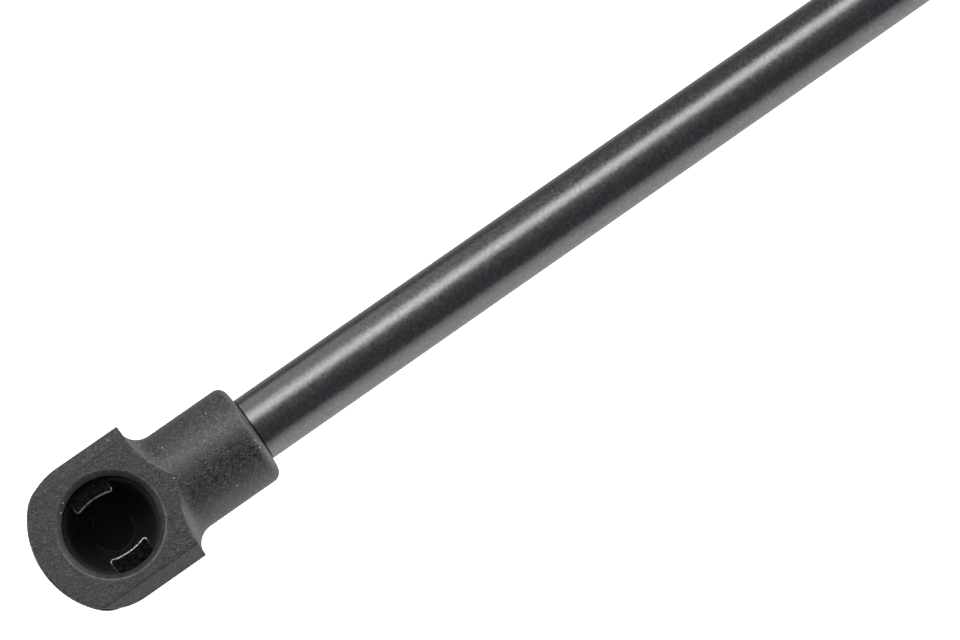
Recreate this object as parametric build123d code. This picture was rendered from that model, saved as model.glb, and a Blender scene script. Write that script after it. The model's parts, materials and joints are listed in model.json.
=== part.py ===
"""Gas strut stay: a nitrogen strut with a composite ball socket on each end.

Units are millimetres. The origin is the centre of the tube end's ball seat. +X runs along
the strut to the rod end, and +Z points out of the mouths of both ball sockets. The strut is
drawn fully extended. Threads are drawn as plain cylinders at their pitch diameter, and the
oil and the gas charge are left out.
"""

import os

from build123d import *

# Overall sizes: the rod's travel, and the rod still showing when the strut is pushed in.
STROKE = 120.0
SHUT_GAP = 5.0

# Pressure tube, with a rolled lip at each end and two beads rolled into its wall.
TUBE_DIAMETER = 18.0
TUBE_WALL = 1.2
ROLL_INNER_RADIUS = 0.6
BEAD_DEPTH = 0.7
BEAD_RADIUS = 1.2
BEAD_GAP = 0.05

# Piston rod and the threads that hold the sockets.
ROD_DIAMETER = 8.0
THREAD_STEP = 0.8
THREAD_CHAMFER = 0.8
THREAD_FIT = 0.01
SPIGOT_STEP = 1.5
SPIGOT_FIT = 0.02
RIVET_HEAD_STEP = 0.8
RIVET_HEAD_LENGTH = 1.5
RIVET_HEAD_ROUND = 0.6

# Ball socket: a ball seat in a D-shaped head, on a round collar.
BALL_DIAMETER = 10.0
SEAT_CLEARANCE = 0.05
MOUTH_CLEARANCE = 0.55
MOUTH_CHAMFER = 0.65
MOUTH_FLOOR = 0.9
POCKET_DIAMETER = 4.9
POCKET_DEPTH = 0.35
HEAD_SIDE_WALL = 3.83
HEAD_FACE_RISE = 1.25
HEAD_END_WALL = 4.08
HEAD_END_BULGE = 2.15
HEAD_CORNER_INSET = 1.55
HEAD_SHOULDER_WALL = 1.85
HEAD_EDGE_ROUND = 0.12
BEVEL_WIDTH = 1.45
BEVEL_DEPTH = 1.65
PLATE_LIP = 0.65
CUP_INSET = 1.0
CUP_CHAMFER = 1.2
COLLAR_WALL = 2.25
COLLAR_LENGTH = 12.5
COLLAR_EDGE_ROUND = 1.2
NECK_FILLET = 2.4
THREAD_RELIEF_GAP = 0.2
THREAD_RELIEF_DEPTH = 1.5
THREAD_FLOOR_WALL = 3.0
THREAD_END_GAP = 0.4

# Retaining clip: a flat spring bent like a U, with a tab on each leg that keeps the ball in.
CLIP_THICKNESS = 0.8
CLIP_STRIP = 1.7
CLIP_RECESS = 0.5
CLIP_PROUD = 0.2
CLIP_END_BULGE = 1.2
CLIP_CORNER_RADIUS = 4.0
CLIP_EDGE_ROUND = 0.2
CLIP_LEG_END = 4.2
CLIP_LEG_ROUND = 0.5
CLIP_TRAVEL = 3.0
CLIP_FACE_GAP = 0.05
CLIP_SIDE_GAP = 0.15
TAB_WIDTH = 5.0
TAB_OVERLAP = 1.5
TAB_TIP_BULGE = 3.0
TAB_CORNER_ROUND = 0.4
TAB_BALL_GAP = 0.05

# Tube end closure: plug, its seal and the riveted stud.
PLUG_LENGTH = 10.0
PLUG_FIT = 0.02
HUB_STANDOUT = 1.2
HUB_CLEARANCE = 0.2
HUB_WALL = 1.0
O_RING_SECTION = 1.7
O_RING_GAP = 0.02
O_RING_SIDE_GAP = 0.3
STUD_NECK_STEP = 1.0
STUD_HEAD_STEP = 1.6
STUD_HEAD_LENGTH = 1.8
STUD_HEAD_ROUND = 1.1

# Guide and seal pack at the rod end, from the rolled lip inwards.
GUIDE_LENGTH = 8.0
GUIDE_BORE_CLEARANCE = 0.3
PACK_FIT = 0.03
LINER_WALL = 0.9
LINER_LENGTH = 5.0
LINER_FIT = 0.01
RUNNING_CLEARANCE = 0.03
WIPER_OVERLAP = 0.3
WIPER_LENGTH = 2.4
WIPER_LIP = 0.7
WIPER_RELIEF = 0.8
SEAL_LENGTH = 5.0
SEAL_LIP_WALL = 0.8
SEAL_OUTER_WALL = 1.0
SEAL_HEEL = 2.2
WASHER_THICKNESS = 1.0
WASHER_CLEARANCE = 0.25
SPACER_LENGTH = 4.0
SPACER_WALL = 1.3
SPACER_FLANGE = 1.5
SPACER_CLEARANCE = 0.4

# Piston pack, from the rod side to the rivet.
PISTON_CLEARANCE = 0.15
PISTON_LENGTH = 7.0
PISTON_CHAMFER = 0.5
PISTON_STOP_GAP = 0.1
PISTON_END_GAP = 1.0
DISC_INSET = 0.3
DISC_THICKNESS = 1.0
RING_WIDTH = 1.9
RING_WALL = 1.5
RING_SIDE_GAP = 0.1
RING_FLOOR_GAP = 0.2
RING_SLIT = 0.5
RING_FIT = 0.02
ORIFICE_DIAMETER = 1.2
ORIFICE_COUNT = 3
VALVE_DISC_THICKNESS = 0.8
VALVE_OVERLAP = 1.0
RIVET_WASHER_THICKNESS = 0.8
RIVET_WASHER_RIM = 1.1

# How close two lengths are when they count as the same.
TOUCH = 1e-4

# Radii that several pieces share.
BORE_RADIUS = TUBE_DIAMETER / 2 - TUBE_WALL
ROD_RADIUS = ROD_DIAMETER / 2
THREAD_RADIUS = (ROD_DIAMETER - THREAD_STEP) / 2
SPIGOT_RADIUS = ROD_RADIUS - SPIGOT_STEP
PACK_RADIUS = BORE_RADIUS - PACK_FIT
PLUG_RADIUS = BORE_RADIUS - PLUG_FIT
HUB_RADIUS = ROD_RADIUS + HUB_WALL
LIP_HOLE_RADIUS = HUB_RADIUS + HUB_CLEARANCE
WIPER_RADIUS = LIP_HOLE_RADIUS + WIPER_OVERLAP
RUNNING_RADIUS = ROD_RADIUS + RUNNING_CLEARANCE
LINER_RADIUS = RUNNING_RADIUS + LINER_WALL
O_RING_RADIUS = BORE_RADIUS - O_RING_GAP - O_RING_SECTION / 2
O_RING_FLOOR = O_RING_RADIUS - O_RING_SECTION / 2 - O_RING_GAP
STUD_NECK_RADIUS = ROD_RADIUS - STUD_NECK_STEP
STUD_HEAD_RADIUS = STUD_NECK_RADIUS + STUD_HEAD_STEP
PISTON_RADIUS = BORE_RADIUS - PISTON_CLEARANCE
RING_RADIUS = BORE_RADIUS - RING_FIT
RING_GROOVE_RADIUS = RING_RADIUS - RING_WALL - RING_FLOOR_GAP
ROLL_CHAMFER = ROLL_INNER_RADIUS + PACK_FIT

# Rolled beads: the centre of the rolling tool's section, and the ridge it makes in the bore.
BEAD_CENTRE = TUBE_DIAMETER / 2 + BEAD_RADIUS - BEAD_DEPTH
RIDGE_SECTION = BEAD_RADIUS + TUBE_WALL
RIDGE_HALF = (RIDGE_SECTION**2 - (RIDGE_SECTION - BEAD_DEPTH) ** 2) ** 0.5 + BEAD_GAP
RIDGE_RADIUS = BORE_RADIUS - BEAD_DEPTH
ORIFICE_RADIUS = (SPIGOT_RADIUS + RING_GROOVE_RADIUS) / 2
VALVE_DISC_RADIUS = ORIFICE_RADIUS + ORIFICE_DIAMETER / 2 + VALVE_OVERLAP
DISC_RADIUS = RIDGE_RADIUS - DISC_INSET
SPIGOT_HOLE_RADIUS = SPIGOT_RADIUS + SPIGOT_FIT
RIVET_HEAD_RADIUS = SPIGOT_RADIUS + RIVET_HEAD_STEP
RIVET_WASHER_RADIUS = SPIGOT_RADIUS + RIVET_WASHER_RIM

# Head of the socket, about the ball centre.
SEAT_RADIUS = BALL_DIAMETER / 2 + SEAT_CLEARANCE
MOUTH_RADIUS = BALL_DIAMETER / 2 + MOUTH_CLEARANCE
HEAD_HALF_WIDTH = BALL_DIAMETER / 2 + HEAD_SIDE_WALL
HEAD_HALF_THICKNESS = BALL_DIAMETER / 2 + HEAD_FACE_RISE
HEAD_CORNER_RADIUS = HEAD_HALF_WIDTH - HEAD_CORNER_INSET
HEAD_END = BALL_DIAMETER / 2 + HEAD_END_WALL
HEAD_SHOULDER = BALL_DIAMETER / 2 + HEAD_SHOULDER_WALL
COLLAR_RADIUS = ROD_RADIUS + COLLAR_WALL
COLLAR_END = HEAD_SHOULDER + COLLAR_LENGTH
RELIEF_FLOOR = COLLAR_END - THREAD_RELIEF_DEPTH
THREAD_FLOOR = SEAT_RADIUS + THREAD_FLOOR_WALL
THREAD_END = THREAD_FLOOR + THREAD_END_GAP

# Heights and half widths of the clip and its groove.
TAB_REACH = BALL_DIAMETER / 2 - TAB_OVERLAP
CLIP_BOTTOM = ((BALL_DIAMETER / 2) ** 2 - TAB_REACH**2) ** 0.5 + TAB_BALL_GAP
CLIP_TOP = CLIP_BOTTOM + CLIP_THICKNESS
CLIP_HALF_WIDTH = HEAD_HALF_WIDTH - CLIP_RECESS
CORE_HALF_WIDTH = CLIP_HALF_WIDTH - CLIP_STRIP - CLIP_SIDE_GAP
PLATE_BOTTOM = CLIP_BOTTOM - CLIP_FACE_GAP - PLATE_LIP
CUP_HALF_WIDTH = HEAD_HALF_WIDTH - CUP_INSET

# Places along X, from the tube end to the rod end.
TUBE_START = COLLAR_END + HUB_STANDOUT
PLUG_START = TUBE_START + TUBE_WALL
PLUG_STOP = PLUG_START + PLUG_LENGTH
O_RING_PLACE = (PLUG_START + PLUG_STOP) / 2
PLUG_BEAD = PLUG_STOP + RIDGE_HALF
RIVET_TAIL = PLUG_STOP + STUD_HEAD_LENGTH + PISTON_END_GAP + STROKE
RIVET_START = RIVET_TAIL + RIVET_HEAD_LENGTH
VALVE_START = RIVET_START + RIVET_WASHER_THICKNESS
PISTON_START = VALVE_START + VALVE_DISC_THICKNESS
PISTON_STOP = PISTON_START + PISTON_LENGTH
DISC_STOP = PISTON_STOP + DISC_THICKNESS
RING_CENTRE = (PISTON_START + PISTON_STOP) / 2
GUIDE_BEAD = PISTON_STOP + PISTON_STOP_GAP + RIDGE_HALF
SPACER_START = GUIDE_BEAD + RIDGE_HALF
WASHER_START = SPACER_START + SPACER_LENGTH
SEAL_START = WASHER_START + WASHER_THICKNESS
GUIDE_START = SEAL_START + SEAL_LENGTH
GUIDE_STOP = GUIDE_START + GUIDE_LENGTH
WIPER_START = GUIDE_STOP - WIPER_LENGTH
WIPER_LIP_START = GUIDE_STOP - WIPER_LIP
TUBE_STOP = GUIDE_STOP + TUBE_WALL
EXTENDED_LENGTH = TUBE_STOP + STROKE + SHUT_GAP + COLLAR_END
ROD_SHOULDER = EXTENDED_LENGTH - RELIEF_FLOOR
ROD_TIP = EXTENDED_LENGTH - THREAD_END


def bar(start, stop, radius):
    """A solid round bar along X."""
    return Pos((start + stop) / 2, 0, 0) * Rot(0, 90, 0) * Cylinder(radius, stop - start)


def ring(start, stop, bore, radius):
    """A plain ring round X."""
    return bar(start, stop, radius) - bar(start, stop, bore)


def turned(*points):
    """A solid turned round X from the (x, radius) corners of its section."""
    return revolve(make_face(Polyline(*points, close=True)), Axis.X)


def rim(solid, x, radius):
    """The round edges of a turned solid at one place and one radius."""
    circles = solid.edges().filter_by(GeomType.CIRCLE)
    return [e for e in circles if abs(e.center().X - x) < TOUCH and abs(e.radius - radius) < TOUCH]


def hoop(x, centre_radius, section_radius):
    """A torus round X."""
    return Pos(x, 0, 0) * Rot(0, 90, 0) * Torus(centre_radius, section_radius)


# ---- Ball socket and clip: about the ball centre, collar along +X, mouth up +Z ----


def slab(outline, bottom, top):
    """A flat piece with the given outline, between two heights."""
    return Pos(0, 0, bottom) * extrude(outline, top - bottom)


def box_between(low, high):
    """A box from its lowest corner to its highest corner."""
    size = [b - a for a, b in zip(low, high)]
    middle = [(a + b) / 2 for a, b in zip(low, high)]
    return Pos(*middle) * Box(*size)


def d_outline(half_width, end, shoulder, bulge, corner_radius):
    """A D on its side: straight flanks, a square shoulder at +X and a rounded end at -X."""
    end_radius = end + bulge
    reach = max(end_radius, half_width)
    flank_box = Pos((shoulder - end) / 2, 0) * Rectangle(shoulder + end, 2 * half_width)
    end_disc = Pos(bulge, 0) * Circle(end_radius)
    shoulder_box = Pos(reach + bulge, 0) * Rectangle(2 * reach, 2 * reach)
    outline = flank_box & (end_disc + shoulder_box)
    return fillet(outline.vertices().sort_by(Axis.X)[:2], corner_radius)


def plate_section():
    """The front plate's end view, bevelled along both flanks."""
    wide, narrow = HEAD_HALF_WIDTH, HEAD_HALF_WIDTH - BEVEL_WIDTH
    tall, low = HEAD_HALF_THICKNESS, HEAD_HALF_THICKNESS - BEVEL_DEPTH
    right = [(wide, PLATE_BOTTOM), (wide, low), (narrow, tall)]
    left = [(-y, z) for y, z in reversed(right)]
    return Plane.YZ * make_face(Polyline(*right, *left, close=True))


def cup_section():
    """The cup's end view, chamfered along both back edges."""
    wide, narrow = CUP_HALF_WIDTH, CUP_HALF_WIDTH - CUP_CHAMFER
    back, low = -HEAD_HALF_THICKNESS, CUP_CHAMFER - HEAD_HALF_THICKNESS
    right = [(narrow, back), (wide, low), (wide, PLATE_BOTTOM)]
    left = [(-y, z) for y, z in reversed(right)]
    return Plane.YZ * make_face(Polyline(*right, *left, close=True))


def head_outline(inset, shoulder):
    """The head's outline, drawn in from its flanks and its round end."""
    end, corner = HEAD_END - inset, HEAD_CORNER_RADIUS - inset
    return d_outline(HEAD_HALF_WIDTH - inset, end, shoulder, HEAD_END_BULGE, corner)


def front_plate():
    """The D-shaped plate round the mouth, with every edge broken."""
    plate = slab(head_outline(0, HEAD_SHOULDER), PLATE_BOTTOM, HEAD_HALF_THICKNESS)
    plate = plate & extrude(plate_section(), HEAD_END + HEAD_SHOULDER, both=True)
    return fillet(plate.edges(), HEAD_EDGE_ROUND)


def seat_cup():
    """The narrower cup behind the plate, which holds the ball's seat."""
    cup = slab(head_outline(CUP_INSET, HEAD_SHOULDER), -HEAD_HALF_THICKNESS, PLATE_BOTTOM)
    back_edges = cup.edges().group_by(Axis.Z)[0].sort_by(Axis.X)[:-1]
    cup = chamfer(back_edges, CUP_CHAMFER)
    cup = fillet(cup.faces().sort_by(Axis.X)[-1].edges(), HEAD_EDGE_ROUND)
    root_outline = head_outline(CUP_INSET, HEAD_SHOULDER - HEAD_EDGE_ROUND)
    return cup + slab(root_outline, PLATE_BOTTOM - HEAD_EDGE_ROUND, PLATE_BOTTOM + HEAD_EDGE_ROUND)


def collar():
    """The round collar, flared into the head and cut flush with the head's sides."""
    flare = HEAD_SHOULDER + NECK_FILLET
    outer = COLLAR_RADIUS + NECK_FILLET
    neck = bar(HEAD_SHOULDER - HEAD_EDGE_ROUND, flare, outer) - hoop(flare, outer, NECK_FILLET)
    neck = neck & extrude(plate_section() + cup_section(), 2 * COLLAR_END, both=True)
    sleeve = bar(0, COLLAR_END, COLLAR_RADIUS)
    sleeve = fillet(rim(sleeve, COLLAR_END, COLLAR_RADIUS), COLLAR_EDGE_ROUND)
    return sleeve + neck


def ball_hollow():
    """The ball's seat, the mouth above it and the moulding pocket below it."""
    mouth_depth = HEAD_HALF_THICKNESS - MOUTH_FLOOR
    mouth = Pos(0, 0, MOUTH_FLOOR + mouth_depth / 2) * Cylinder(MOUTH_RADIUS, mouth_depth)
    flare = Pos(0, 0, HEAD_HALF_THICKNESS - MOUTH_CHAMFER / 2) * Cone(
        MOUTH_RADIUS, MOUTH_RADIUS + MOUTH_CHAMFER, MOUTH_CHAMFER
    )
    well = Pos(0, 0, MOUTH_FLOOR / 2) * Cylinder(SEAT_RADIUS, MOUTH_FLOOR)
    pocket_bottom = SEAT_RADIUS + POCKET_DEPTH
    pocket = Pos(0, 0, -pocket_bottom / 2) * Cylinder(POCKET_DIAMETER / 2, pocket_bottom)
    return mouth + flare + well + Sphere(SEAT_RADIUS) + pocket


def clip_groove():
    """The groove round the head that the clip lies and slides in, and its two windows."""
    bottom, top = CLIP_BOTTOM - CLIP_FACE_GAP, CLIP_TOP + CLIP_FACE_GAP
    leg_end = CLIP_LEG_END + CLIP_SIDE_GAP
    reach = 2 * HEAD_END
    ring_space = box_between((-reach, -reach, bottom), (leg_end, reach, top))
    inset = CLIP_STRIP + CLIP_SIDE_GAP
    core_end = HEAD_END + CLIP_PROUD - inset
    core_corner = CLIP_CORNER_RADIUS - inset
    core = d_outline(CORE_HALF_WIDTH, core_end, HEAD_SHOULDER, CLIP_END_BULGE, core_corner)
    window = box_between(
        (-TAB_WIDTH / 2 - CLIP_TRAVEL - CLIP_SIDE_GAP, -reach, bottom),
        (TAB_WIDTH / 2 + CLIP_SIDE_GAP, reach, top),
    )
    return (ring_space - slab(core, bottom, top)) + window


def thread_hole():
    """The threaded hole in the collar, with a plain relief at its mouth."""
    thread = bar(THREAD_FLOOR, COLLAR_END, THREAD_RADIUS + THREAD_FIT)
    return thread + bar(RELIEF_FLOOR, COLLAR_END, ROD_RADIUS + THREAD_RELIEF_GAP)


def ball_socket():
    """The whole composite end fitting."""
    head = front_plate() + seat_cup()
    return head + collar() - ball_hollow() - clip_groove() - thread_hole()


def clip_tab():
    """One tab, from the leg at +Y inwards over the ball, with a hollowed tip."""
    reach = CLIP_HALF_WIDTH - CLIP_STRIP / 2
    tab = Pos(0, reach / 2) * Rectangle(TAB_WIDTH, reach)
    tab = tab - Pos(0, -TAB_TIP_BULGE) * Circle(TAB_REACH + TAB_TIP_BULGE)
    return fillet(tab.vertices().sort_by(Axis.Y)[:2], TAB_CORNER_ROUND)


def retaining_clip():
    """The U-shaped clip in its locked place."""
    end, inner_end = HEAD_END + CLIP_PROUD, HEAD_END + CLIP_PROUD - CLIP_STRIP
    outer = d_outline(CLIP_HALF_WIDTH, end, CLIP_LEG_END, CLIP_END_BULGE, CLIP_CORNER_RADIUS)
    inner_half = CLIP_HALF_WIDTH - CLIP_STRIP
    inner_corner = CLIP_CORNER_RADIUS - CLIP_STRIP
    inner = d_outline(inner_half, inner_end, 2 * CLIP_LEG_END, CLIP_END_BULGE, inner_corner)
    legs = outer - inner
    legs = fillet(legs.vertices().group_by(Axis.X)[-1], CLIP_LEG_ROUND)
    tab = clip_tab()
    clip = slab(legs + tab + mirror(tab, Plane.XZ), CLIP_BOTTOM, CLIP_TOP)
    return fillet(clip.edges().group_by(Axis.Z)[-1], CLIP_EDGE_ROUND)


def at_rod_end(shape):
    """Turns a piece drawn for the tube end to face the other way, at the rod end."""
    return Pos(EXTENDED_LENGTH, 0, 0) * Rot(0, 0, 180) * shape


# ---- Cylinder: tube, end closure, guide and seals ----


def tube_bead(x):
    """The ridge that a rolled bead makes in the bore."""
    return hoop(x, BEAD_CENTRE, RIDGE_SECTION) & bar(x - RIDGE_HALF, x + RIDGE_HALF, TUBE_DIAMETER / 2)


def pressure_tube():
    """The tube, with its ends rolled over the plug and the guide."""
    shell = bar(TUBE_START, TUBE_STOP, TUBE_DIAMETER / 2)
    outer_rims = rim(shell, TUBE_START, TUBE_DIAMETER / 2) + rim(shell, TUBE_STOP, TUBE_DIAMETER / 2)
    shell = fillet(outer_rims, TUBE_WALL + ROLL_INNER_RADIUS)
    bore = bar(PLUG_START, GUIDE_STOP, BORE_RADIUS)
    inner_rims = rim(bore, PLUG_START, BORE_RADIUS) + rim(bore, GUIDE_STOP, BORE_RADIUS)
    bore = fillet(inner_rims, ROLL_INNER_RADIUS)
    tube = shell - bore - bar(TUBE_START, TUBE_STOP, LIP_HOLE_RADIUS)
    for x in (PLUG_BEAD, GUIDE_BEAD):
        tube = tube + tube_bead(x) - hoop(x, BEAD_CENTRE, BEAD_RADIUS)
    return tube


def end_plug():
    """The turned plug, with its O-ring groove and a hub that stands out of the rolled lip."""
    plug = bar(PLUG_START, PLUG_STOP, PLUG_RADIUS)
    plug = chamfer(rim(plug, PLUG_START, PLUG_RADIUS), ROLL_CHAMFER)
    half_groove = O_RING_SECTION / 2 + O_RING_SIDE_GAP
    groove = ring(O_RING_PLACE - half_groove, O_RING_PLACE + half_groove, O_RING_FLOOR, TUBE_DIAMETER)
    return plug + bar(COLLAR_END, PLUG_STOP, HUB_RADIUS) - groove - stud_hole()


def stud_hole():
    """The hole through the plug for the stud's neck."""
    return bar(COLLAR_END, PLUG_STOP, STUD_NECK_RADIUS + PLUG_FIT)


def end_plug_o_ring():
    """The O-ring round the plug."""
    return hoop(O_RING_PLACE, O_RING_RADIUS, O_RING_SECTION / 2)


def tube_end_stud():
    """The threaded stud, riveted over inside the plug."""
    thread = bar(THREAD_END, RELIEF_FLOOR, THREAD_RADIUS)
    thread = chamfer(rim(thread, THREAD_END, THREAD_RADIUS), THREAD_CHAMFER)
    head_stop = PLUG_STOP + STUD_HEAD_LENGTH
    head = bar(PLUG_STOP, head_stop, STUD_HEAD_RADIUS)
    head = fillet(rim(head, head_stop, STUD_HEAD_RADIUS), STUD_HEAD_ROUND)
    shoulder = bar(RELIEF_FLOOR, COLLAR_END, ROD_RADIUS)
    neck = bar(COLLAR_END, PLUG_STOP, STUD_NECK_RADIUS)
    return thread + shoulder + neck + head


def rod_guide_bush():
    """The guide's body, recessed for the liner inside and the wiper outside."""
    bush = ring(GUIDE_START, GUIDE_STOP, ROD_RADIUS + GUIDE_BORE_CLEARANCE, PACK_RADIUS)
    bush = chamfer(rim(bush, GUIDE_STOP, PACK_RADIUS), ROLL_CHAMFER)
    liner_seat = bar(GUIDE_START, GUIDE_START + LINER_LENGTH, LINER_RADIUS + LINER_FIT)
    return bush - liner_seat - bar(WIPER_START, GUIDE_STOP, WIPER_RADIUS + LINER_FIT)


def guide_liner():
    """The bearing liner that the rod runs in."""
    return ring(GUIDE_START, GUIDE_START + LINER_LENGTH, RUNNING_RADIUS, LINER_RADIUS)


def rod_wiper():
    """The wiper under the rolled lip, with one narrow lip at the rod."""
    wiper = ring(WIPER_START, GUIDE_STOP, RUNNING_RADIUS, WIPER_RADIUS)
    relief = Pos((WIPER_START + WIPER_LIP_START) / 2, 0, 0) * Rot(0, 90, 0) * Cone(
        RUNNING_RADIUS + WIPER_RELIEF, RUNNING_RADIUS, WIPER_LIP_START - WIPER_START
    )
    return wiper - relief


def rod_lip_seal():
    """The main seal: a U section that opens towards the gas."""
    heel = GUIDE_START - SEAL_HEEL
    return turned(
        (GUIDE_START, RUNNING_RADIUS),
        (GUIDE_START, PACK_RADIUS),
        (SEAL_START, PACK_RADIUS),
        (SEAL_START, PACK_RADIUS - SEAL_OUTER_WALL),
        (heel, PACK_RADIUS - SEAL_OUTER_WALL),
        (heel, RUNNING_RADIUS + SEAL_LIP_WALL),
        (SEAL_START, RUNNING_RADIUS + SEAL_LIP_WALL),
        (SEAL_START, RUNNING_RADIUS),
    )


def seal_support_washer():
    """The washer that backs the seal."""
    return ring(WASHER_START, SEAL_START, ROD_RADIUS + WASHER_CLEARANCE, PACK_RADIUS)


def seal_spacer_sleeve():
    """The flanged sleeve that stands the seal pack off the bead."""
    sleeve = ring(SPACER_START, WASHER_START, ROD_RADIUS + SPACER_CLEARANCE, PACK_RADIUS)
    return sleeve - bar(SPACER_START, WASHER_START - SPACER_FLANGE, PACK_RADIUS - SPACER_WALL)


# ---- Rod and piston ----


def piston_rod():
    """The rod: riveted spigot for the piston, ground shaft and threaded end."""
    rivet = bar(RIVET_TAIL, RIVET_START, RIVET_HEAD_RADIUS)
    rivet = fillet(rim(rivet, RIVET_TAIL, RIVET_HEAD_RADIUS), RIVET_HEAD_ROUND)
    spigot = bar(RIVET_START, DISC_STOP, SPIGOT_RADIUS)
    shaft = bar(DISC_STOP, ROD_SHOULDER, ROD_RADIUS)
    thread = bar(ROD_SHOULDER, ROD_TIP, THREAD_RADIUS)
    thread = chamfer(rim(thread, ROD_TIP, THREAD_RADIUS), THREAD_CHAMFER)
    return rivet + spigot + shaft + thread


def orifices(start, stop):
    """The gas passages through the piston, as a ring of bars along X."""
    hole = Pos(0, 0, ORIFICE_RADIUS) * bar(start, stop, ORIFICE_DIAMETER / 2)
    return [Rot(turn * 360 / ORIFICE_COUNT, 0, 0) * hole for turn in range(ORIFICE_COUNT)]


def piston_support_disc():
    """The disc between the rod's shoulder and the piston."""
    disc = ring(PISTON_STOP, DISC_STOP, SPIGOT_HOLE_RADIUS, DISC_RADIUS)
    return disc - orifices(PISTON_STOP, DISC_STOP)


def piston_body():
    """The piston, with the groove for its ring."""
    piston = ring(PISTON_START, PISTON_STOP, SPIGOT_HOLE_RADIUS, PISTON_RADIUS)
    outer_rims = rim(piston, PISTON_START, PISTON_RADIUS) + rim(piston, PISTON_STOP, PISTON_RADIUS)
    piston = chamfer(outer_rims, PISTON_CHAMFER)
    half_groove = RING_WIDTH / 2 + RING_SIDE_GAP
    groove = ring(RING_CENTRE - half_groove, RING_CENTRE + half_groove, RING_GROOVE_RADIUS, TUBE_DIAMETER)
    return piston - groove - orifices(PISTON_START, PISTON_STOP)


def piston_ring():
    """The split ring that seals the piston to the bore."""
    start, stop = RING_CENTRE - RING_WIDTH / 2, RING_CENTRE + RING_WIDTH / 2
    hoop_part = ring(start, stop, RING_RADIUS - RING_WALL, RING_RADIUS)
    slit = box_between((start, -RING_SLIT / 2, 0), (stop, RING_SLIT / 2, TUBE_DIAMETER))
    return hoop_part - slit


def piston_valve_disc():
    """The thin disc that covers the orifices."""
    return ring(VALVE_START, PISTON_START, SPIGOT_HOLE_RADIUS, VALVE_DISC_RADIUS)


def piston_rivet_washer():
    """The washer under the riveted head."""
    return ring(RIVET_START, VALVE_START, SPIGOT_HOLE_RADIUS, RIVET_WASHER_RADIUS)


def strut():
    """Every piece of the strut in its place, by name."""
    socket = ball_socket()
    clip = retaining_clip()
    return {
        "pressure_tube": pressure_tube(),
        "tube_end_plug": end_plug(),
        "end_plug_o_ring": end_plug_o_ring(),
        "tube_end_stud": tube_end_stud(),
        "tube_end_socket": socket,
        "tube_end_clip": clip,
        "rod_guide_bush": rod_guide_bush(),
        "guide_liner": guide_liner(),
        "rod_wiper": rod_wiper(),
        "rod_lip_seal": rod_lip_seal(),
        "seal_support_washer": seal_support_washer(),
        "seal_spacer_sleeve": seal_spacer_sleeve(),
        "piston_rod": piston_rod(),
        "piston_support_disc": piston_support_disc(),
        "piston_body": piston_body(),
        "piston_ring": piston_ring(),
        "piston_valve_disc": piston_valve_disc(),
        "piston_rivet_washer": piston_rivet_washer(),
        "rod_end_socket": at_rod_end(socket),
        "rod_end_clip": at_rod_end(clip),
    }


os.makedirs("parts", exist_ok=True)
for name, piece in strut().items():
    export_step(piece, f"parts/{name}.step")
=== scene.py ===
"""Looks for the gas strut stay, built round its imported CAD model. Units are metres."""

import json
import math

import bpy
from mathutils import Matrix, Vector


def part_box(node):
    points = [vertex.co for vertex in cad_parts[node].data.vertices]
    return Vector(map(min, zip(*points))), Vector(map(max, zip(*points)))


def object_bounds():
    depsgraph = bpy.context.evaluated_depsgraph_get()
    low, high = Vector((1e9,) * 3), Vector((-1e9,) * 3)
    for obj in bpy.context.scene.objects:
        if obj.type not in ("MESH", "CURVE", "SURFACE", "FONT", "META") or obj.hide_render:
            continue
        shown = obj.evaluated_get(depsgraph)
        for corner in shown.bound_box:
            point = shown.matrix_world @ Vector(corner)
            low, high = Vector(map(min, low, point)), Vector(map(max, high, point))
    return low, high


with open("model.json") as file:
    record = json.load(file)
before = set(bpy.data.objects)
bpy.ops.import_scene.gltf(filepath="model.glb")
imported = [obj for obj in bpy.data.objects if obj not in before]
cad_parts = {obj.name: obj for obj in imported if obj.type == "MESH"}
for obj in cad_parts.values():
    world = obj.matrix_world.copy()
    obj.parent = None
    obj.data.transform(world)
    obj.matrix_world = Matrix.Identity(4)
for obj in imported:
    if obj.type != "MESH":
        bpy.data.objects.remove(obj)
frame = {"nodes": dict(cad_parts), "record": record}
CAD_BOX = [list(corner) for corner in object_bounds()]
NODES = frame["nodes"]

MM = 0.001

# Camera: where it looks, measured from the rod end's ball, and from which side.
AIM_BACK = 48.13 * MM
AIM_SIDE = 4.56 * MM
VIEW_DISTANCE = 449.6 * MM
LEAN_ALONG = math.radians(6.64)
LEAN_ACROSS = math.radians(3.15)
STRUT_SLOPE = math.radians(34.9)
LENS = 146.4
SENSOR = 36.0

# The mouth of each ball socket: its bore, its rim, and the heights of its floor and its chamfer.
MOUTH_RADIUS = 5.55 * MM
RIM_RADIUS = 6.2 * MM
MOUTH_CHAMFER_HEIGHT = 5.6 * MM
POCKET_HEIGHT = -5.5 * MM
POCKET_RADIUS = 2.45 * MM

# The front face of each ball socket: its height, and the width of the bevel along each side.
FACE_HEIGHT = 6.25 * MM
BEVEL_WIDTH = 1.45 * MM

# How far the tips of a clip's tabs are from the mouth's axis.
TAB_TIP_RADIUS = 4.1 * MM

# The distance over which one finish gives way to the next.
BLEND = 0.1 * MM

# Studio floor: its height under the strut, its size and its own glow.
FLOOR_DROP = 160 * MM
FLOOR_SIZE = 6.0
FLOOR_GLOW = 0.75

# Side light: its angle round the strut from straight above, its lean towards the rod end, then
# its distance, size and power.
SIDE_ANGLE = math.radians(-75)
SIDE_LEAN = 0.27
SIDE_DISTANCE = 0.9
SIDE_WIDTH = 0.95
SIDE_LENGTH = 0.7
SIDE_POWER = 1.5

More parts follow.
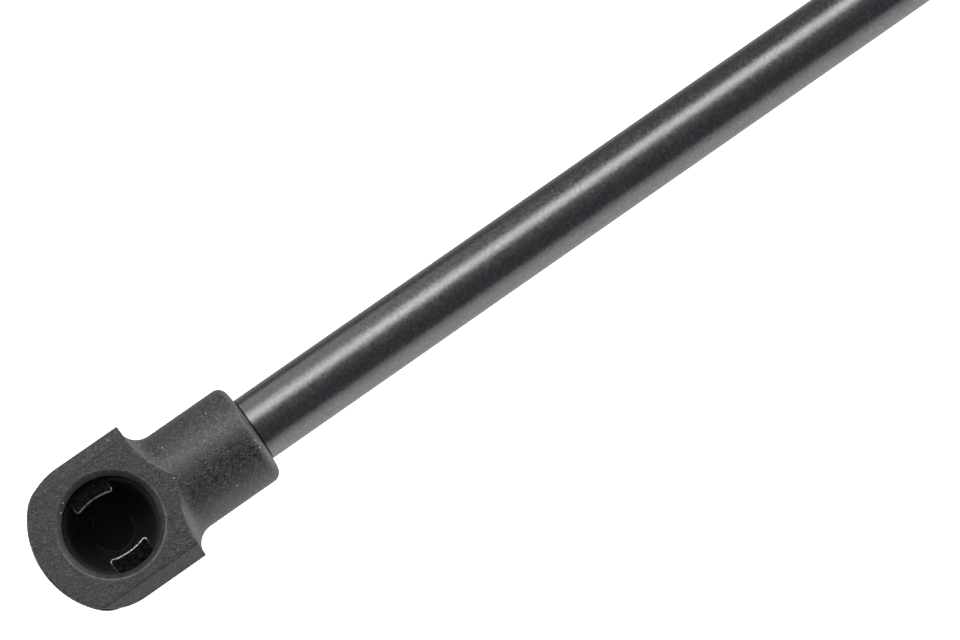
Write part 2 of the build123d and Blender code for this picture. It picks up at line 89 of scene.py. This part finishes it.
# Surround: (degrees round the strut from straight above, level, blue tint).
SURROUND = [
    (-180, 0.3, 0.0),
    (-145, 0.5, 0.0),
    (-118, 0.24, 0.0),
    (-70, 0.2, 0.0),
    (-30, 0.3, 0.0),
    (0, 0.24, 0.0),
    (22, 0.14, 0.07),
    (63, 0.13, 0.07),
    (74, 0.6, 0.0),
    (86, 0.85, 0.0),
    (104, 1.08, 0.0),
    (140, 0.9, 0.0),
    (180, 0.35, 0.0),
]
SURROUND_PEAK = 4.0

# A soft strip of light above one side of the strut: its angle, half width and level.
KEY_ANGLE = math.radians(-35.5)
KEY_SPREAD = math.radians(27)
KEY_LEVEL = 2.65

# A bright wall past the tube end: its level, and where along X it starts and is full.
END_LEVEL = 1.1
END_START = -0.45
END_FULL = -0.8


def mount_place(name):
    """Where a mount of the record is, at rest."""
    mounts = {m["name"]: m for m in frame["record"]["mounts"]}
    return Vector(mounts[name]["pos_m"])


TUBE_BALL = mount_place("tube_end_ball")
ROD_BALL = mount_place("rod_end_ball")


# ---- Shader building blocks ----


class Graph:
    """A node tree, with short calls for the nodes that it is built from."""

    def __init__(self, tree):
        self.tree = tree

    def node(self, kind, **settings):
        made = self.tree.nodes.new(kind)
        for key, value in settings.items():
            setattr(made, key, value)
        return made

    def feed(self, socket, value):
        """Links an output to a socket, or sets the socket's own value."""
        if isinstance(value, bpy.types.NodeSocket):
            self.tree.links.new(value, socket)
        else:
            socket.default_value = value

    def math(self, operation, first, second=0.0, clamp=False):
        made = self.node("ShaderNodeMath", operation=operation, use_clamp=clamp)
        self.feed(made.inputs[0], first)
        self.feed(made.inputs[1], second)
        return made.outputs[0]

    def plus(self, first, *others):
        """The sum of two or more numbers."""
        for other in others:
            first = self.math("ADD", first, other)
        return first

    def times(self, first, *others):
        """The product of two or more numbers."""
        for other in others:
            first = self.math("MULTIPLY", first, other)
        return first

    def gap(self, first, second):
        """How far apart two numbers are."""
        return self.math("ABSOLUTE", self.math("SUBTRACT", first, second))

    def band(self, value, low, high, out_low=0.0, out_high=1.0):
        """Maps low..high to out_low..out_high, smoothly and clamped."""
        made = self.node("ShaderNodeMapRange", interpolation_type="SMOOTHSTEP")
        for socket, number in zip(made.inputs, (value, low, high, out_low, out_high)):
            self.feed(socket, number)
        return made.outputs[0]

    def near(self, value, target, full, none):
        """1 within one distance of a target, and 0 beyond another."""
        return self.band(self.gap(value, target), none, full)

    def part_of(self, vector, axis):
        """One component of a vector: X, Y or Z."""
        made = self.node("ShaderNodeSeparateXYZ")
        self.feed(made.inputs[0], vector)
        return made.outputs[axis]


class Shader(Graph):
    """A material's node tree, with the textures that the finishes use."""

    def __init__(self, name):
        self.material = bpy.data.materials.new(name)
        self.material.use_nodes = True
        super().__init__(self.material.node_tree)
        self.surface = self.tree.nodes["Principled BSDF"]
        coordinates = self.node("ShaderNodeTexCoord")
        self.position = coordinates.outputs["Object"]
        self.normal = coordinates.outputs["Normal"]

    def stretched(self, x, y, z):
        """Object coordinates, in metres, multiplied along each axis."""
        scale = self.node("ShaderNodeMapping", vector_type="POINT")
        self.feed(scale.inputs["Vector"], self.position)
        scale.inputs["Scale"].default_value = (x, y, z)
        return scale.outputs["Vector"]

    def noise(self, size, detail=3.0, roughness=0.55, stretch=(1, 1, 1), seed=0.0):
        """Noise from 0 to 1 whose features are about this many metres across."""
        noise = self.node("ShaderNodeTexNoise", noise_dimensions="4D")
        self.feed(noise.inputs["Vector"], self.stretched(*(s / size for s in stretch)))
        noise.inputs["W"].default_value = seed
        noise.inputs["Scale"].default_value = 1.0
        noise.inputs["Detail"].default_value = detail
        noise.inputs["Roughness"].default_value = roughness
        return noise.outputs["Fac"]

    def cells(self, size):
        """Voronoi cells about this many metres across: distance to the centre, and a chance value."""
        cells = self.node("ShaderNodeTexVoronoi", feature="F1")
        self.feed(cells.inputs["Vector"], self.stretched(*[1 / size] * 3))
        cells.inputs["Scale"].default_value = 1.0
        cells.inputs["Randomness"].default_value = 1.0
        return cells.outputs["Distance"], self.part_of(cells.outputs["Color"], "X")

    def mix(self, amount, first, second):
        """Mixes two colours."""
        made = self.node("ShaderNodeMix", data_type="RGBA")
        self.feed(made.inputs["Factor"], amount)
        self.feed(made.inputs["A"], rgba(first))
        self.feed(made.inputs["B"], rgba(second))
        return made.outputs["Result"]

    def coats(self, color, *layers):
        """Lays (amount, colour) layers over a colour, one after another."""
        for amount, over in layers:
            color = self.mix(amount, color, over)
        return color

    def ball_radius(self):
        """Distance from the axis of the nearer ball socket's mouth."""
        half = (ROD_BALL.x - TUBE_BALL.x) / 2
        middle = (ROD_BALL.x + TUBE_BALL.x) / 2
        along = self.math("SUBTRACT", self.gap(self.part_of(self.position, "X"), middle), half)
        across = self.part_of(self.position, "Y")
        return self.math("SQRT", self.plus(self.times(along, along), self.times(across, across)))

    def edges(self, radius, gain):
        """About 1 on sharp edges and 0 elsewhere."""
        rounded = self.node("ShaderNodeBevel", samples=6)
        rounded.inputs["Radius"].default_value = radius
        geometry = self.node("ShaderNodeNewGeometry")
        product = self.node("ShaderNodeVectorMath", operation="DOT_PRODUCT")
        self.feed(product.inputs[0], rounded.outputs["Normal"])
        self.feed(product.inputs[1], geometry.outputs["Normal"])
        turned = self.math("SUBTRACT", 1.0, product.outputs["Value"])
        return self.math("MULTIPLY", turned, gain, clamp=True)

    def bump(self, height, depth):
        """A bump whose height of 1 stands this many metres proud."""
        made = self.node("ShaderNodeBump")
        made.inputs["Strength"].default_value = 1.0
        made.inputs["Distance"].default_value = depth
        self.feed(made.inputs["Height"], height)
        return made.outputs["Normal"]

    def finish(self, color, roughness, normal, **sockets):
        """Sets the surface's colour, roughness, normal and any uniform sockets."""
        self.feed(self.surface.inputs["Base Color"], rgba(color))
        self.feed(self.surface.inputs["Roughness"], roughness)
        self.feed(self.surface.inputs["Normal"], normal)
        for name, value in sockets.items():
            self.surface.inputs[name.replace("_", " ")].default_value = value
        return self.material


def rgba(color):
    """A grey number or an RGB triple as RGBA; a socket passes through."""
    if isinstance(color, bpy.types.NodeSocket):
        return color
    if isinstance(color, (int, float)):
        return (color, color, color, 1.0)
    return (*color, 1.0)


# ---- Finishes ----


def socket_zones(s, mottle, flow):
    """Where the zones of a ball socket are, each from 0 to 1.

    They are the seat, the seat's wall, a painted highlight on the mouth's edge, painted shade in the
    mouth's chamfer, a painted highlight ring round the pocket, and painted shade on the face plane,
    darkest at its creases.
    """
    radius = s.ball_radius()
    height = s.part_of(s.position, "Z")
    across = s.part_of(s.position, "Y")
    inside = s.band(radius, MOUTH_RADIUS + 0.12 * MM, MOUTH_RADIUS + 0.05 * MM)
    under_mouth = s.band(height, MOUTH_CHAMFER_HEIGHT, MOUTH_CHAMFER_HEIGHT - BLEND)
    over_floor = s.band(height, POCKET_HEIGHT - BLEND, POCKET_HEIGHT)
    seat = s.times(inside, under_mouth, over_floor)
    wall = s.times(seat, s.band(radius, MOUTH_RADIUS - 0.25 * MM, MOUTH_RADIUS - 0.15 * MM))

    # Painted highlight: a light line along the mouth's edge, fuller towards +Y and broken by mottle.
    rim_highlight = s.near(radius, RIM_RADIUS, 0.04 * MM, 0.16 * MM)
    at_face = s.band(height, FACE_HEIGHT - 0.35 * MM, FACE_HEIGHT - 0.15 * MM)
    lit_side = s.band(across, -4.0 * MM, 4.0 * MM, 0.25, 1.0)
    rim_highlight = s.times(rim_highlight, at_face, lit_side, s.band(mottle, 0.3, 0.6, 0.35, 0.9))
    # Painted shade: the chamfer inside the mouth is darkened.
    throat_shade = s.band(radius, RIM_RADIUS + BLEND, MOUTH_RADIUS, 0.0, 0.9)

    # Painted highlight: a faint, broken light ring at the pocket's edge.
    pocket_ring_highlight = s.near(radius, POCKET_RADIUS, 0.04 * MM, 0.14 * MM)
    pocket_ring_highlight = s.times(pocket_ring_highlight, s.band(mottle, 0.42, 0.6, 0.2, 1.0), s.band(flow, 0.42, 0.58, 0.25, 1.0))

    # Painted shade: the face plane is darkened a little, and most along the creases by its bevels.
    painted_face_shade = s.band(height, FACE_HEIGHT - 0.12 * MM, FACE_HEIGHT - 0.04 * MM)
    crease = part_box("rod_end_socket")[1][1] - BEVEL_WIDTH
    from_crease = s.gap(s.math("ABSOLUTE", across), crease)
    painted_face_shade = s.times(painted_face_shade, s.band(from_crease, 0.6 * MM, 0.1 * MM, 0.35, 1.0))
    return seat, wall, rim_highlight, throat_shade, pocket_ring_highlight, painted_face_shade


def moulded_nylon():
    """Black glass-filled nylon: eroded grain outside, a smooth dark seat deepened by painted shade,
    and a painted highlight on the mouth's edge.
    """
    s = Shader("black_moulded_nylon")
    grain = s.noise(0.2 * MM, detail=2.0, roughness=0.65)
    mottle = s.noise(0.6 * MM, detail=2.0, roughness=0.6, seed=1.5)
    flow = s.noise(3.0 * MM, detail=3.0, stretch=(0.5, 1, 1), seed=4.0)
    pits, _ = s.cells(0.24 * MM)
    _, salt = s.cells(0.2 * MM)
    glint_gap, glint_chance = s.cells(0.22 * MM)
    glints = s.times(s.band(glint_gap, 0.5, 0.25), s.band(glint_chance, 0.2, 1.0))
    fibre_gap, fibre_chance = s.cells(0.9 * MM)
    fibre_ends = s.times(s.band(fibre_gap, 0.12, 0.07), s.band(fibre_chance, 0.88, 0.89))
    seat, wall, rim_highlight, throat_shade, pocket_ring_highlight, painted_face_shade = socket_zones(s, mottle, flow)

    # The seat's smooth dark skin, darkened further as painted shade deep in the bore.
    seat_tone_and_shade = s.coats(
        s.mix(s.band(mottle, 0.4, 0.7), (0.003, 0.0035, 0.0045), (0.006, 0.007, 0.008)),
        # Painted highlight ring round the pocket.
        (pocket_ring_highlight, 0.09),
    )
    tone = s.coats(
        s.mix(s.band(grain, 0.46, 0.6), (0.002, 0.0022, 0.0026), (0.052, 0.052, 0.054)),
        (s.band(salt, 0.6, 1.0, 0.0, 0.6), 0.08),
        (glints, 0.16),
        (s.band(salt, 0.5, 0.1, 0.0, 0.9), 0.001),
        # Painted shade on the face plane, darkest at its creases.
        (painted_face_shade, (0.008, 0.0085, 0.0095)),
        (s.band(mottle, 0.4, 0.65, 0.0, 0.3), 0.044),
        (s.band(flow, 0.35, 0.7, 0.0, 0.25), 0.02),
        # Painted shade in the mouth's chamfer.
        (throat_shade, (0.004, 0.0045, 0.006)),
        # Painted highlight along the mouth's edge.
        (rim_highlight, 0.13),
        (fibre_ends, 0.55),
        # The seat: its smooth dark skin, darkened further as painted shade.
        (seat, seat_tone_and_shade),
    )
    rough = s.plus(s.band(grain, 0.3, 0.7, 0.34, 0.50), s.band(flow, 0.3, 0.7, -0.03, 0.03))
    floor = s.math("SUBTRACT", seat, wall)
    rough = s.plus(rough, s.times(floor, 0.4), s.times(wall, -0.2))
    relief = s.plus(grain, s.times(s.band(pits, 0.1, 0.5), 0.5))
    relief = s.times(relief, s.band(seat, 0.0, 1.0, 1.0, 0.2))
    return s.finish(tone, rough, s.bump(relief, 0.042 * MM), Specular_IOR_Level=0.85)


def ground_rod():
    """Dark nitrided steel: ground round and round, a mottled oxide, and painted shade at the collar's
    gap.
    """
    s = Shader("dark_nitrided_steel")
    rings = s.noise(0.7 * MM, detail=3.0, roughness=0.7, stretch=(7, 0.8, 0.8))
    mottle = s.noise(0.38 * MM, detail=4.0, roughness=0.7, seed=2.0)
    blotch = s.noise(1.6 * MM, detail=3.0, roughness=0.6, stretch=(0.6, 1, 1), seed=3.0)
    cloud = s.noise(9.0 * MM, detail=2.0, seed=5.0)
    collar_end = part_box("rod_end_socket")[0][0]
    # Painted shade: a thin dark band round the rod at the collar's end, where the gap's shadow falls.
    collar_gap_shade = s.near(s.part_of(s.position, "X"), collar_end, 0.16 * MM, 0.3 * MM)
    tone = s.coats(
        s.mix(s.band(mottle, 0.32, 0.68), (0.150, 0.152, 0.160), (0.245, 0.245, 0.25)),
        (s.band(blotch, 0.45, 0.7, 0.0, 0.45), (0.155, 0.155, 0.16)),
        (s.band(cloud, 0.4, 0.65, 0.0, 0.3), (0.19, 0.188, 0.185)),
        # Painted shade at the collar's gap.
        (collar_gap_shade, 0.012),
    )
    rough = s.plus(s.band(mottle, 0.3, 0.75, 0.19, 0.29), s.band(rings, 0.35, 0.65, -0.03, 0.03))
    relief = s.plus(rings, s.times(mottle, 0.7))
    return s.finish(tone, rough, s.bump(relief, 0.003 * MM), Metallic=1.0)


def satin_paint():
    """Satin black paint on drawn tube: orange peel, faint haze and rubbed edges."""
    s = Shader("satin_black_paint")
    peel = s.noise(0.9 * MM, detail=2.0, roughness=0.4)
    haze = s.noise(14.0 * MM, detail=3.0, stretch=(0.4, 1, 1), seed=3.0)
    rubs = s.noise(0.5 * MM, detail=3.0, roughness=0.6, stretch=(0.08, 1, 1), seed=7.0)
    worn = s.times(s.edges(0.25 * MM, 5.0), s.band(peel, 0.45, 0.6, 0.0, 0.5))
    tone = s.coats(
        s.mix(s.band(haze, 0.3, 0.7), (0.018, 0.018, 0.019), (0.026, 0.026, 0.027)),
        (worn, 0.16),
    )
    rough = s.plus(s.band(haze, 0.3, 0.7, 0.26, 0.34), s.band(rubs, 0.55, 0.72, 0.0, 0.1))
    return s.finish(tone, rough, s.bump(peel, 0.006 * MM), Coat_Weight=0.25, Coat_Roughness=0.22)


def spring_strip():
    """Oiled dark spring strip: rolled faces, and bare shear-cut edges with a painted highlight that is
    brightest at the tabs' tips.
    """
    s = Shader("dark_spring_strip")
    rolled = s.noise(0.4 * MM, detail=4.0, roughness=0.65, stretch=(0.6, 1.8, 1))
    tear = s.noise(0.3 * MM, detail=3.0, stretch=(2, 2, 0.25), seed=3.0)
    facing_up = s.math("ABSOLUTE", s.part_of(s.normal, "Z"))
    tip = s.band(s.ball_radius(), TAB_TIP_RADIUS + 0.5 * MM, TAB_TIP_RADIUS)
    beside_tip = s.band(s.part_of(s.normal, "X"), -0.5, 0.5, 0.12, 0.35)
    # Bare shear-cut edges, lightened further as a painted highlight that is brightest at the tabs' tips.
    bare_edge_and_highlight = s.times(s.band(facing_up, 0.985, 0.9), s.band(tip, 0.0, 1.0, beside_tip, 1.0))
    dark = s.mix(s.band(rolled, 0.38, 0.62), (0.003, 0.0035, 0.0045), (0.018, 0.0195, 0.021))
    bright = s.mix(s.band(tear, 0.42, 0.58), 0.3, 0.95)
    rough = s.plus(s.band(rolled, 0.3, 0.7, 0.30, 0.42), s.times(bare_edge_and_highlight, 0.12))
    relief = s.plus(rolled, s.times(tear, bare_edge_and_highlight))
    return s.finish(s.mix(bare_edge_and_highlight, dark, bright), rough, s.bump(relief, 0.004 * MM), Metallic=1.0)


def turned_metal(name, dark, light, rough_low, rough_high, ring_size):
    """Metal turned on a lathe: fine rings round X under a faint stain."""
    s = Shader(name)
    rings = s.noise(ring_size, detail=3.0, roughness=0.6, stretch=(6, 0.25, 0.25))
    stain = s.noise(3.0 * MM, detail=3.0, seed=6.0)
    tone = s.coats(
        s.mix(s.band(rings, 0.3, 0.7), dark, light),
        (s.band(stain, 0.5, 0.75, 0.0, 0.3), dark),
    )
    rough = s.plus(s.band(rings, 0.3, 0.7, rough_low, rough_high), s.band(stain, 0.4, 0.7, 0.0, 0.06))
    return s.finish(tone, rough, s.bump(rings, 0.004 * MM), Metallic=1.0)


def stamped_metal(name, dark, light, rough_low, rough_high):
    """Stamped and tumbled sheet: a fine random peening and softened, brighter edges."""
    s = Shader(name)
    peen = s.noise(0.35 * MM, detail=3.0, roughness=0.6)
    stain = s.noise(2.5 * MM, detail=2.0, seed=8.0)
    tone = s.coats(s.mix(s.band(stain, 0.3, 0.7), dark, light), (s.edges(0.12 * MM, 5.0), light))
    rough = s.band(peen, 0.3, 0.7, rough_low, rough_high)
    return s.finish(tone, rough, s.bump(peen, 0.005 * MM), Metallic=1.0)


def moulded_polymer(name, dark, light, rough_low, rough_high, translucency=0.0):
    """A plain moulded engineering plastic with a fine matt grain."""
    s = Shader(name)
    grain = s.noise(0.2 * MM, detail=4.0, roughness=0.6)
    flow = s.noise(2.5 * MM, detail=2.0, seed=9.0)
    tone = s.coats(
        s.mix(s.band(flow, 0.3, 0.7), dark, light),
        (s.band(grain, 0.4, 0.7, 0.0, 0.25), light),
    )
    rough = s.band(grain, 0.3, 0.7, rough_low, rough_high)
    return s.finish(tone, rough, s.bump(grain, 0.008 * MM), Subsurface_Weight=translucency)


def oiled_rubber(name, dark, light, rough_low, rough_high):
    """Moulded nitrile rubber with a smear of oil."""
    s = Shader(name)
    grain = s.noise(0.3 * MM, detail=3.0, roughness=0.6)
    oil = s.noise(1.8 * MM, detail=2.0, seed=11.0)
    tone = s.mix(s.band(grain, 0.35, 0.7), dark, light)
    rough = s.plus(s.band(oil, 0.35, 0.65, rough_low, rough_high), s.band(grain, 0.3, 0.7, -0.02, 0.02))
    return s.finish(tone, rough, s.bump(grain, 0.006 * MM))


def finishes():
    """One material for each slot of the record."""
    bronze = [(0.36, 0.2, 0.08), (0.55, 0.36, 0.17)]
    strip_steel = [(0.3, 0.31, 0.34), (0.42, 0.44, 0.48)]
    acetal = [(0.09, 0.1, 0.09), (0.14, 0.15, 0.14)]
    nylon = [(0.62, 0.56, 0.44), (0.74, 0.7, 0.6)]
    filled_ptfe = [(0.15, 0.19, 0.15), (0.23, 0.27, 0.22)]
    return {
        "socket_nylon": moulded_nylon(),
        "rod_steel": ground_rod(),
        "tube_paint": satin_paint(),
        "clip_spring_steel": spring_strip(),
        "stud_zinc": turned_metal("zinc_plated_steel", 0.42, 0.6, 0.24, 0.36, 0.5 * MM),
        "plug_alloy": turned_metal("turned_aluminium", 0.5, 0.68, 0.26, 0.4, 0.6 * MM),
        "liner_bronze": turned_metal("bored_bronze", *bronze, 0.28, 0.42, 0.5 * MM),
        "washer_steel": stamped_metal("stamped_steel", 0.4, 0.58, 0.3, 0.44),
        "valve_spring_steel": stamped_metal("polished_strip", *strip_steel, 0.16, 0.26),
        "guide_polymer": moulded_polymer("dark_acetal", *acetal, 0.36, 0.5),
        "spacer_nylon": moulded_polymer("natural_nylon", *nylon, 0.38, 0.52, translucency=0.1),
        "ring_ptfe": moulded_polymer("filled_fluoropolymer", *filled_ptfe, 0.42, 0.55),
        "seal_rubber": oiled_rubber("oiled_nitrile", 0.012, 0.022, 0.28, 0.46),
        "wiper_rubber": oiled_rubber("wiper_nitrile", 0.018, 0.03, 0.42, 0.56),
    }


def dress_nodes():
    """Gives every CAD node the finish of its slot in the record."""
    made = finishes()
    for row in frame["record"]["subparts"]:
        piece = NODES[row["node"]]
        piece.data.materials.clear()
        piece.data.materials.append(made[row["material_slot"]])


# ---- Studio ----


def make_camera():
    """Looks almost straight into the rod end's mouth, with the strut rising to the right."""
    aim = ROD_BALL + Vector((-AIM_BACK, AIM_SIDE, 0))
    back = Vector((math.tan(LEAN_ALONG), math.tan(LEAN_ACROSS), 1.0)).normalized()
    along = Vector((-1, 0, 0))
    along = (along - back * along.dot(back)).normalized()
    across = back.cross(along)
    right = along * math.cos(STRUT_SLOPE) - across * math.sin(STRUT_SLOPE)
    up = back.cross(right)
    data = bpy.data.cameras.new("camera")
    data.lens = LENS
    data.sensor_width = SENSOR
    data.clip_start = 0.01
    data.clip_end = 50.0
    camera = bpy.data.objects.new("camera", data)
    bpy.context.scene.collection.objects.link(camera)
    place = Matrix((right, up, back)).transposed().to_4x4()
    place.translation = aim + back * VIEW_DISTANCE
    camera.matrix_world = place
    bpy.context.scene.camera = camera


def make_side_light():
    """A soft box at the strut's dim side, facing the middle of what the camera sees."""
    data = bpy.data.lights.new("side", "AREA")
    data.shape = "RECTANGLE"
    data.size = SIDE_LENGTH
    data.size_y = SIDE_WIDTH
    data.energy = SIDE_POWER
    light = bpy.data.objects.new("side", data)
    bpy.context.scene.collection.objects.link(light)
    centre = ROD_BALL + Vector((-AIM_BACK, 0, 0))
    way = Vector((math.sin(SIDE_LEAN), math.sin(SIDE_ANGLE), math.cos(SIDE_ANGLE))).normalized()
    along = Vector((1, 0, 0))
    along = (along - way * along.dot(way)).normalized()
    turn = Matrix((along, way.cross(along), way)).transposed().to_4x4()
    light.matrix_world = Matrix.Translation(centre + way * SIDE_DISTANCE) @ turn


def make_floor():
    """A plain pale floor, well below the strut, that reads as white."""
    mesh = bpy.data.meshes.new("floor")
    half = FLOOR_SIZE / 2
    height = CAD_BOX[0][2] - FLOOR_DROP
    corners = [(-half, -half, height), (half, -half, height), (half, half, height), (-half, half, height)]
    mesh.from_pydata(corners, [], [(0, 1, 2, 3)])
    floor = bpy.data.objects.new("floor", mesh)
    bpy.context.scene.collection.objects.link(floor)
    material = bpy.data.materials.new("pale_floor")
    material.use_nodes = True
    surface = material.node_tree.nodes["Principled BSDF"]
    surface.inputs["Base Color"].default_value = (0.9, 0.9, 0.9, 1)
    surface.inputs["Roughness"].default_value = 0.9
    surface.inputs["Emission Color"].default_value = (1, 1, 1, 1)
    surface.inputs["Emission Strength"].default_value = FLOOR_GLOW
    mesh.materials.append(material)
    floor.visible_glossy = False
    floor.visible_diffuse = False


def surround_ramp(graph, angle):
    """The light all round the strut, from the SURROUND list."""
    ramp = graph.node("ShaderNodeValToRGB")
    graph.feed(ramp.inputs[0], graph.plus(graph.math("DIVIDE", angle, 2 * math.pi), 0.5))
    while len(ramp.color_ramp.elements) < len(SURROUND):
        ramp.color_ramp.elements.new(0.5)
    for element, (degrees, level, blue) in zip(ramp.color_ramp.elements, SURROUND):
        element.position = (degrees + 180) / 360
        shade = level / SURROUND_PEAK
        element.color = (shade * (1 - blue), shade, shade * (1 + blue), 1)
    return ramp.outputs[0]


def make_world():
    """A studio with a soft strip light, a dim ceiling, and bright walls to one side and one end."""
    world = bpy.data.worlds.new("studio")
    bpy.context.scene.world = world
    world.use_nodes = True
    graph = Graph(world.node_tree)
    direction = graph.node("ShaderNodeTexCoord").outputs["Generated"]
    angle = graph.math("ARCTAN2", graph.part_of(direction, "Y"), graph.part_of(direction, "Z"))
    strip = graph.band(graph.gap(angle, KEY_ANGLE), KEY_SPREAD, 0.0, 0.0, KEY_LEVEL / SURROUND_PEAK)
    along = graph.part_of(direction, "X")
    end_wall = graph.band(along, END_START, END_FULL, 0.0, END_LEVEL / SURROUND_PEAK)
    total = graph.node("ShaderNodeVectorMath", operation="ADD")
    graph.feed(total.inputs[0], surround_ramp(graph, angle))
    graph.feed(total.inputs[1], graph.plus(strip, end_wall))
    background = graph.tree.nodes["Background"]
    graph.feed(background.inputs["Color"], total.outputs[0])
    background.inputs["Strength"].default_value = SURROUND_PEAK
    seen = graph.node("ShaderNodeBackground")
    seen.inputs["Color"].default_value = (1, 1, 1, 1)
    shown = graph.node("ShaderNodeMixShader")
    graph.feed(shown.inputs[0], graph.node("ShaderNodeLightPath").outputs["Is Camera Ray"])
    graph.feed(shown.inputs[1], background.outputs[0])
    graph.feed(shown.inputs[2], seen.outputs[0])
    graph.feed(graph.tree.nodes["World Output"].inputs["Surface"], shown.outputs[0])


dress_nodes()
make_camera()
make_world()
make_floor()
make_side_light()
bpy.context.scene.view_settings.view_transform = "Standard"
